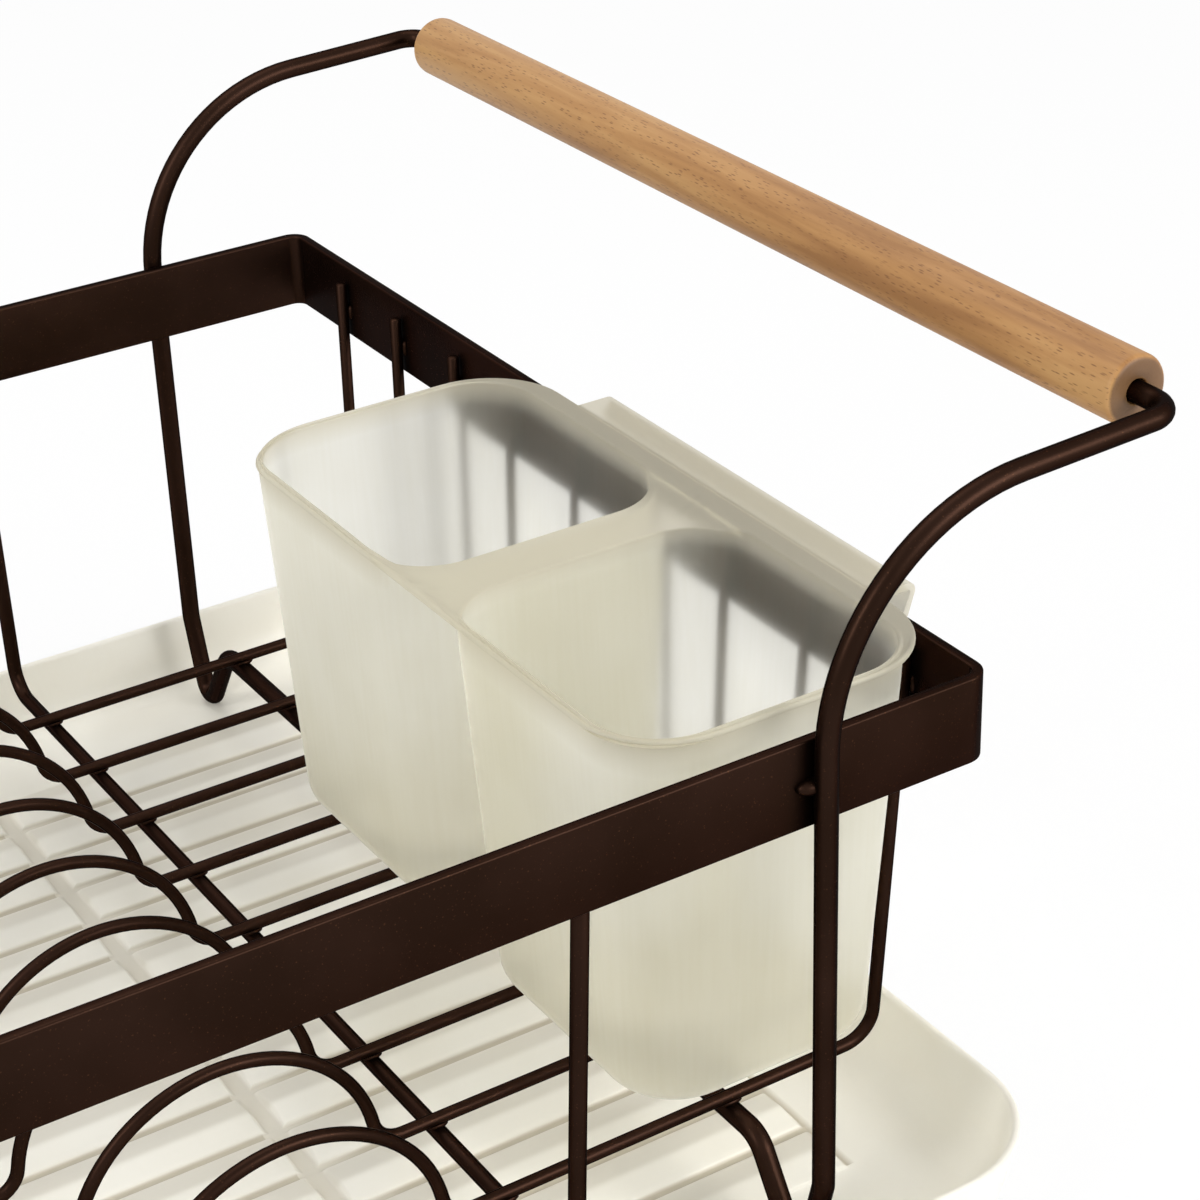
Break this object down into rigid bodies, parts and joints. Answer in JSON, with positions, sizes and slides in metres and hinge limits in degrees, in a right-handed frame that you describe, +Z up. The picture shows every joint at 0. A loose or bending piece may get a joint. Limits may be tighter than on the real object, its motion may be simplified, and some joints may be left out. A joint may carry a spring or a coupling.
{
  "type": "dish drying rack",
  "caption": "Wire dish rack with a flat-bar rim, plate arches, wooden carrying grips, a hook-on cutlery holder and a ridged drip tray.",
  "frame": {"origin": "the middle of the drip tray's flat underside", "axes": "+X along the rack towards the end where the cutlery holder hangs, +Y across it away from the holder's side, +Z up"},
  "size_m": [0.521, 0.348, 0.2004],
  "materials": {
    "coated_steel": "dark bronze powder coat, satin",
    "wood": "sanded, clear matt lacquer",
    "frosted_plastic": "frosted, slightly translucent"
  },
  "bodies": {
    "tray": {"drip_tray": "frosted_plastic"},
    "rack": {"top_rim": "coated_steel", "hoop_right": "coated_steel", "hoop_left": "coated_steel", "long_wire_1": "coated_steel", "long_wire_2": "coated_steel", "long_wire_3": "coated_steel", "long_wire_4": "coated_steel", "long_wire_5": "coated_steel", "long_wire_6": "coated_steel", "long_wire_7": "coated_steel", "long_wire_8": "coated_steel", "long_wire_9": "coated_steel", "cross_wire_right": "coated_steel", "cross_wire_left": "coated_steel"},
    "holder": {"cutlery_holder": "frosted_plastic"},
    "right_grip": {"grip_right": "wood"},
    "left_grip": {"grip_left": "wood"}
  },
  "joints": [
    {"name": "rack_lift", "type": "slide", "parent": "tray", "child": "rack", "axis": [0, 0, 1], "range_m": [0, 0.15]},
    {"name": "holder_lift", "type": "slide", "parent": "rack", "child": "holder", "axis": [0, 0, 1], "range_m": [0, 0.12]},
    {"name": "right_grip_turn", "type": "hinge", "parent": "rack", "child": "right_grip", "pos_m": [0.2522, 0, 0.19205], "axis": [0, 1, 0], "continuous": true},
    {"name": "left_grip_turn", "type": "hinge", "parent": "rack", "child": "left_grip", "pos_m": [-0.2522, 0, 0.19205], "axis": [0, 1, 0], "continuous": true}
  ]
}
